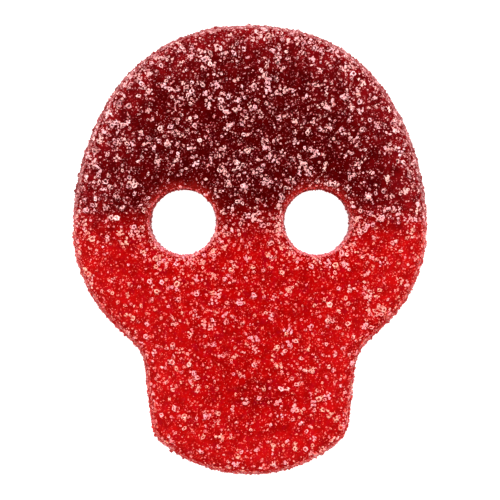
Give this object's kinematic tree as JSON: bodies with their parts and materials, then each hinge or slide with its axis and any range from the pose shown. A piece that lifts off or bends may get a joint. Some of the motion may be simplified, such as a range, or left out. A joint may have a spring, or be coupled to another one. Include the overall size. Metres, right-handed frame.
{
  "type": "sour gummy skull",
  "caption": "Sugar-coated gummy sweet in the form of a plain skull with a flat back and two eye holes, dark red above and bright red below.",
  "frame": {"origin": "on the resting surface, under the middle of the piece", "axes": "+Z out of the shown face, +Y towards the crown, +X to the right seen from above"},
  "size_m": [0.0286, 0.0361, 0.0089],
  "materials": {
    "gel": "translucent red gel, coated in clear and white sugar crystals",
    "sugar": "clear to milky crystals, tinted pink by the gel under them"
  },
  "bodies": {
    "root": {"sour_gummy_skull": "gel"}
  },
  "joints": []
}
